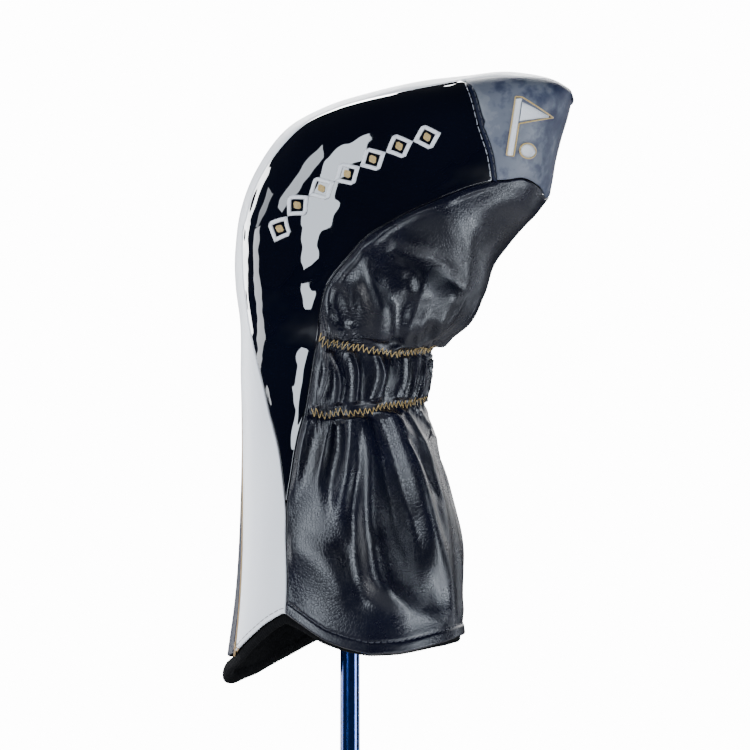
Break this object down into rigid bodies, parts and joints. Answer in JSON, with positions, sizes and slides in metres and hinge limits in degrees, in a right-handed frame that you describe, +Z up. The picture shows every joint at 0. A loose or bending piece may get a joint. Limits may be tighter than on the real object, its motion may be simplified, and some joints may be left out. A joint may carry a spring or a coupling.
{
  "type": "fairway wood with headcover",
  "caption": "Fairway wood golf club standing head up, its head and hosel inside a padded, elastic-necked leather headcover that pulls off along the shaft.",
  "frame": {"origin": "centre of the grip's butt end, on the shaft axis", "axes": "+Z runs up the shaft to the head, +X points to the toe side, -Y is the face side"},
  "size_m": [0.1641, 0.1194, 1.136],
  "materials": {
    "grip_rubber": "matt moulded rubber with a fine tread",
    "grip_tape": "double-sided paper tape",
    "shaft_paint": "deep blue metallic lacquer on carbon fibre",
    "ferrule_plastic": "polished black plastic",
    "adapter_alloy": "anodised, satin",
    "screw_steel": "plain machined steel",
    "head_steel": "satin steel",
    "face_steel": "blasted face with scored lines",
    "crown_composite": "clear-coated carbon composite",
    "weight_metal": "machined heavy alloy",
    "gloss_vinyl": "patent, mirror gloss",
    "toe_print": "printed synthetic leather, satin",
    "white_leather": "smooth synthetic leather, satin",
    "navy_stripe": "smooth synthetic leather, satin",
    "gold_piping": "woven cord",
    "navy_leather": "pebbled synthetic leather with a soft sheen",
    "elastic_webbing": "woven elastic",
    "foam": "closed-cell foam sheet",
    "black_fleece": "short pile fleece"
  },
  "bodies": {
    "club": {"grip_sleeve": "grip_rubber", "grip_cap": "grip_rubber", "grip_tape": "grip_tape", "shaft": "shaft_paint", "ferrule": "ferrule_plastic", "hosel_adapter": "adapter_alloy", "hosel_cog": "adapter_alloy", "hosel_screw": "screw_steel", "screw_washer": "screw_steel", "head_frame": "head_steel", "face_cup": "face_steel", "crown_panel": "crown_composite", "sole_plate": "crown_composite", "inner_weight": "weight_metal", "rear_weight": "weight_metal"},
    "headcover": {"gloss_panel_front": "gloss_vinyl", "gloss_panel_back": "gloss_vinyl", "toe_panel": "toe_print", "gusset_front": "white_leather", "gusset_back": "white_leather", "spine_stripe": "navy_stripe", "piping_front": "gold_piping", "piping_back": "gold_piping", "welt_front": "navy_leather", "welt_back": "navy_leather", "leather_sock": "navy_leather", "elastic_lower": "elastic_webbing", "elastic_upper": "elastic_webbing", "foam_pad_front": "foam", "foam_pad_back": "foam", "hem_binding": "black_fleece", "fleece_lining": "black_fleece"}
  },
  "joints": [
    {"name": "cover_pull", "type": "slide", "parent": "club", "child": "headcover", "axis": [0, 0, 1], "range_m": [0, 0.3], "deforming": ["leather_sock", "fleece_lining", "elastic_lower", "elastic_upper", "hem_binding", "foam_pad_back", "gloss_panel_back", "welt_back"]}
  ]
}
